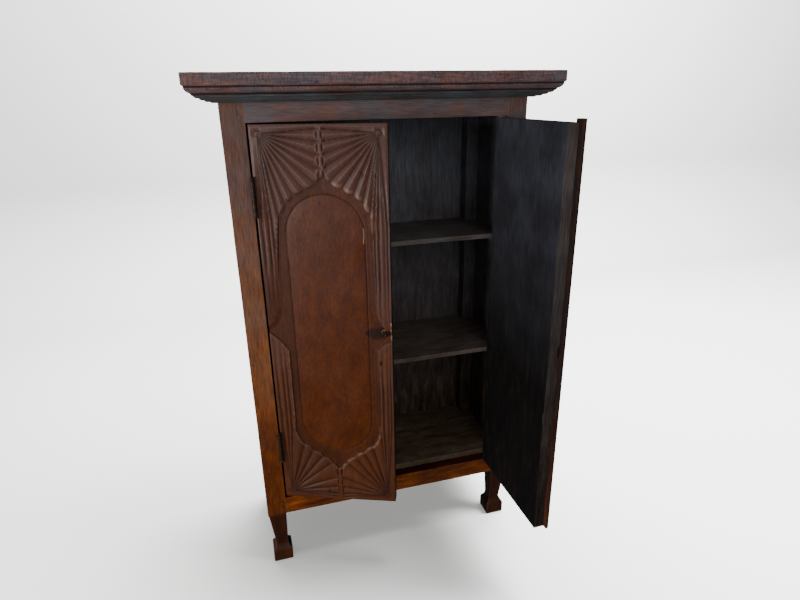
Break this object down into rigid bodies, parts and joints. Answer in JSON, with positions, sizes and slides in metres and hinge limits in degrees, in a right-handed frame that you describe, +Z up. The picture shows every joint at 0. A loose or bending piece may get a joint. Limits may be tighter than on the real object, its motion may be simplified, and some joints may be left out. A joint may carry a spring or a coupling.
{
  "type": "storage cabinet",
  "caption": "Free-standing aged hardwood storage cabinet with carved fan doors, inner shelves, moulded cornice, knob lock and tapered legs on block feet.",
  "frame": {"origin": "centre of the base of the whole object's box, on the floor, with both doors at their resting angles", "axes": "+X to the right along the front as a viewer in front sees it, +Y from the doors towards the back, +Z up"},
  "size_m": [1.06, 0.7756, 1.626],
  "materials": {
    "case_wood": "old waxed teak, worn",
    "cornice_wood": "old waxed teak, dark in the reeds",
    "door_wood": "old waxed teak, polished by hands",
    "strip_wood": "old waxed teak",
    "inner_wood": "bare, dark with age",
    "peg_wood": "bare",
    "black_iron": "blackened wrought iron",
    "lock_iron": "dark steel, tarnished",
    "rose_brass": "tarnished brass",
    "knob_steel": "worn grey steel"
  },
  "bodies": {
    "case": {"back_board_1": "inner_wood", "back_board_2": "inner_wood", "back_board_3": "inner_wood", "back_board_4": "inner_wood", "back_board_5": "inner_wood", "cornice_front": "cornice_wood", "cornice_left": "cornice_wood", "cornice_right": "cornice_wood", "floor_board_1": "inner_wood", "floor_board_2": "inner_wood", "floor_board_3": "inner_wood", "hinge_pin_lower_left": "black_iron", "hinge_pin_lower_right": "black_iron", "hinge_pin_upper_left": "black_iron", "hinge_pin_upper_right": "black_iron", "hinge_post_leaf_lower_left": "black_iron", "hinge_post_leaf_lower_right": "black_iron", "hinge_post_leaf_upper_left": "black_iron", "hinge_post_leaf_upper_right": "black_iron", "hinge_screws_posts": "black_iron", "nails": "black_iron", "post_front_left": "case_wood", "post_front_right": "case_wood", "post_rear_left": "case_wood", "post_rear_right": "case_wood", "rail_front_bottom": "case_wood", "rail_front_top": "case_wood", "rail_left_bottom": "case_wood", "rail_left_top": "case_wood", "rail_rear_bottom": "case_wood", "rail_rear_top": "case_wood", "rail_right_bottom": "case_wood", "rail_right_top": "case_wood", "shelf_bearer_lower_left": "inner_wood", "shelf_bearer_lower_right": "inner_wood", "shelf_bearer_upper_left": "inner_wood", "shelf_bearer_upper_right": "inner_wood", "shelf_lower": "inner_wood", "shelf_upper": "inner_wood", "side_panel_left": "case_wood", "side_panel_right": "case_wood", "tenon_pegs": "peg_wood", "top_board_1": "inner_wood", "top_board_2": "inner_wood", "top_board_3": "inner_wood"},
    "door_left": {"door_panel_left": "door_wood", "hinge_door_leaf_lower_left": "black_iron", "hinge_door_leaf_upper_left": "black_iron", "hinge_screws_door_left": "black_iron", "lock_case": "lock_iron", "lock_forend": "lock_iron", "knob_rose": "rose_brass"},
    "door_right": {"door_panel_right": "door_wood", "cover_strip": "strip_wood", "hinge_door_leaf_lower_right": "black_iron", "hinge_door_leaf_upper_right": "black_iron", "hinge_screws_door_right": "black_iron"},
    "lock_bolt": {"lock_bolt": "lock_iron"},
    "knob": {"knob": "knob_steel", "lock_crank": "lock_iron"}
  },
  "joints": [
    {"name": "door_left_hinge", "type": "hinge", "parent": "case", "child": "door_left", "pos_m": [-0.384, 0.00527, 0.9], "axis": [0, 0, -1], "range_deg": [-21.75, 156.25]},
    {"name": "door_right_hinge", "type": "hinge", "parent": "case", "child": "door_right", "pos_m": [0.384, 0.00527, 0.9], "axis": [0, 0, 1], "range_deg": [-91.3, 86.7]},
    {"name": "knob_turn", "type": "hinge", "parent": "door_left", "child": "knob", "pos_m": [-0.05001, -0.12098, 0.897], "axis": [0.3706, 0.9288, 0], "range_deg": [0, 90]},
    {"name": "lock_bolt_slide", "type": "slide", "parent": "door_left", "child": "lock_bolt", "axis": [0.9288, -0.3706, 0], "range_m": [0, 0.015]}
  ],
  "couplings": [
    {"joint": "knob_turn", "follows": "lock_bolt_slide", "rad_per_m": 104.72}
  ]
}
